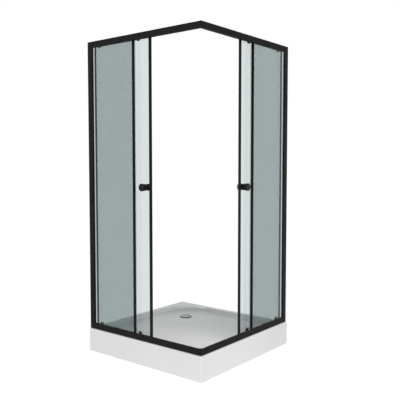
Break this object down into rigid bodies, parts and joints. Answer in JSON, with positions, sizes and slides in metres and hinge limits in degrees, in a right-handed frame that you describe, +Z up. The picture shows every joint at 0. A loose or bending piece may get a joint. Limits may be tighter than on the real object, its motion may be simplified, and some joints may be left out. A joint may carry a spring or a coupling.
{
  "type": "corner shower enclosure",
  "caption": "Square corner shower enclosure with black rails, tinted fixed panes, sliding corner-entry doors with round knobs and a raised white tray with waste.",
  "frame": {"origin": "centre of the square footprint on the floor, under the middle levelling foot", "axes": "+Z up; the room walls are at -X and +Y, the open faces with the doors at -Y and +X, and the entry corner at +X -Y"},
  "size_m": [0.9, 0.9, 1.91],
  "materials": {
    "tray_white": "gloss white sanitary acrylic",
    "frame_black": "satin black powder coat on aluminium",
    "fixed_glass": "grey tinted toughened glass",
    "door_glass": "light grey tinted toughened glass",
    "black_plastic": "moulded black plastic",
    "cap_black": "smooth black plastic",
    "wheel_plastic": "off-white acetal",
    "trap_plastic": "white polypropylene",
    "black_rubber": "black seal rubber",
    "smoke_seal": "smoke grey seal strip",
    "clear_seal": "clear soft seal strip",
    "magnet_black": "black soft strip with magnet core",
    "knob_black": "satin black",
    "black_steel": "blackened steel",
    "zinc_steel": "zinc plated steel",
    "chrome": "bright chrome"
  },
  "bodies": {
    "enclosure": {"shower_tray": "tray_white", "tray_support_frame": "zinc_steel", "foot_studs": "zinc_steel", "foot_lock_nuts": "zinc_steel", "foot_pads": "black_plastic", "drain_flange": "chrome", "drain_cover": "chrome", "drain_gasket": "black_rubber", "drain_trap": "trap_plastic", "left_lower_rail": "frame_black", "right_lower_rail": "frame_black", "left_upper_rail": "frame_black", "right_upper_rail": "frame_black", "lower_corner_joiner": "black_plastic", "upper_corner_joiner": "black_plastic", "left_wall_profile": "frame_black", "right_wall_profile": "frame_black", "left_end_connectors": "black_plastic", "right_end_connectors": "black_plastic", "frame_screws": "black_steel", "left_fixed_glass": "fixed_glass", "right_fixed_glass": "fixed_glass", "left_glazing_gasket": "black_rubber", "right_glazing_gasket": "black_rubber", "left_fixed_edge_profile": "frame_black", "right_fixed_edge_profile": "frame_black", "left_fixed_edge_seal": "clear_seal", "right_fixed_edge_seal": "clear_seal", "left_groove_fillers": "black_plastic", "right_groove_fillers": "black_plastic", "track_stops": "black_rubber"},
    "left_door": {"left_door_glass": "door_glass", "left_door_edge_profile": "frame_black", "left_door_magnet": "magnet_black", "left_door_rear_seal": "smoke_seal", "left_outer_knob": "knob_black", "left_inner_knob": "knob_black", "left_knob_fixings": "black_steel", "left_roller_bolts": "zinc_steel", "left_roller_bushes": "black_plastic", "left_roller_caps": "cap_black"},
    "right_door": {"right_door_glass": "door_glass", "right_door_edge_profile": "frame_black", "right_door_magnet": "magnet_black", "right_door_rear_seal": "smoke_seal", "right_outer_knob": "knob_black", "right_inner_knob": "knob_black", "right_knob_fixings": "black_steel", "right_roller_bolts": "zinc_steel", "right_roller_bushes": "black_plastic", "right_roller_caps": "cap_black"},
    "left_upper_front_roller": {"left_upper_front_wheel": "wheel_plastic"},
    "left_upper_rear_roller": {"left_upper_rear_wheel": "wheel_plastic"},
    "left_lower_front_roller": {"left_lower_front_wheel": "wheel_plastic"},
    "left_lower_rear_roller": {"left_lower_rear_wheel": "wheel_plastic"},
    "right_upper_front_roller": {"right_upper_front_wheel": "wheel_plastic"},
    "right_upper_rear_roller": {"right_upper_rear_wheel": "wheel_plastic"},
    "right_lower_front_roller": {"right_lower_front_wheel": "wheel_plastic"},
    "right_lower_rear_roller": {"right_lower_rear_wheel": "wheel_plastic"}
  },
  "joints": [
    {"name": "left_door_slide", "type": "slide", "parent": "enclosure", "child": "left_door", "axis": [1, 0, 0], "range_m": [-0.006, 0.35]},
    {"name": "right_door_slide", "type": "slide", "parent": "enclosure", "child": "right_door", "axis": [0, -1, 0], "range_m": [-0.002, 0.354]},
    {"name": "left_upper_front_turn", "type": "hinge", "parent": "left_door", "child": "left_upper_front_roller", "pos_m": [-0.0545, -0.418, 1.89], "axis": [0, 1, 0], "continuous": true},
    {"name": "left_upper_rear_turn", "type": "hinge", "parent": "left_door", "child": "left_upper_rear_roller", "pos_m": [-0.3865, -0.418, 1.89], "axis": [0, 1, 0], "continuous": true},
    {"name": "left_lower_front_turn", "type": "hinge", "parent": "left_door", "child": "left_lower_front_roller", "pos_m": [-0.0545, -0.418, 0.163], "axis": [0, 1, 0], "continuous": true},
    {"name": "left_lower_rear_turn", "type": "hinge", "parent": "left_door", "child": "left_lower_rear_roller", "pos_m": [-0.3865, -0.418, 0.163], "axis": [0, 1, 0], "continuous": true},
    {"name": "right_upper_front_turn", "type": "hinge", "parent": "right_door", "child": "right_upper_front_roller", "pos_m": [0.418, 0.0586, 1.89], "axis": [1, 0, 0], "continuous": true},
    {"name": "right_upper_rear_turn", "type": "hinge", "parent": "right_door", "child": "right_upper_rear_roller", "pos_m": [0.418, 0.3906, 1.89], "axis": [1, 0, 0], "continuous": true},
    {"name": "right_lower_front_turn", "type": "hinge", "parent": "right_door", "child": "right_lower_front_roller", "pos_m": [0.418, 0.0586, 0.163], "axis": [1, 0, 0], "continuous": true},
    {"name": "right_lower_rear_turn", "type": "hinge", "parent": "right_door", "child": "right_lower_rear_roller", "pos_m": [0.418, 0.3906, 0.163], "axis": [1, 0, 0], "continuous": true}
  ],
  "couplings": [
    {"joint": "left_upper_front_turn", "follows": "left_door_slide", "rad_per_m": 105.26},
    {"joint": "left_upper_rear_turn", "follows": "left_door_slide", "rad_per_m": 105.26},
    {"joint": "left_lower_front_turn", "follows": "left_door_slide", "rad_per_m": 105.26},
    {"joint": "left_lower_rear_turn", "follows": "left_door_slide", "rad_per_m": 105.26},
    {"joint": "right_upper_front_turn", "follows": "right_door_slide", "rad_per_m": 105.26},
    {"joint": "right_upper_rear_turn", "follows": "right_door_slide", "rad_per_m": 105.26},
    {"joint": "right_lower_front_turn", "follows": "right_door_slide", "rad_per_m": 105.26},
    {"joint": "right_lower_rear_turn", "follows": "right_door_slide", "rad_per_m": 105.26}
  ]
}
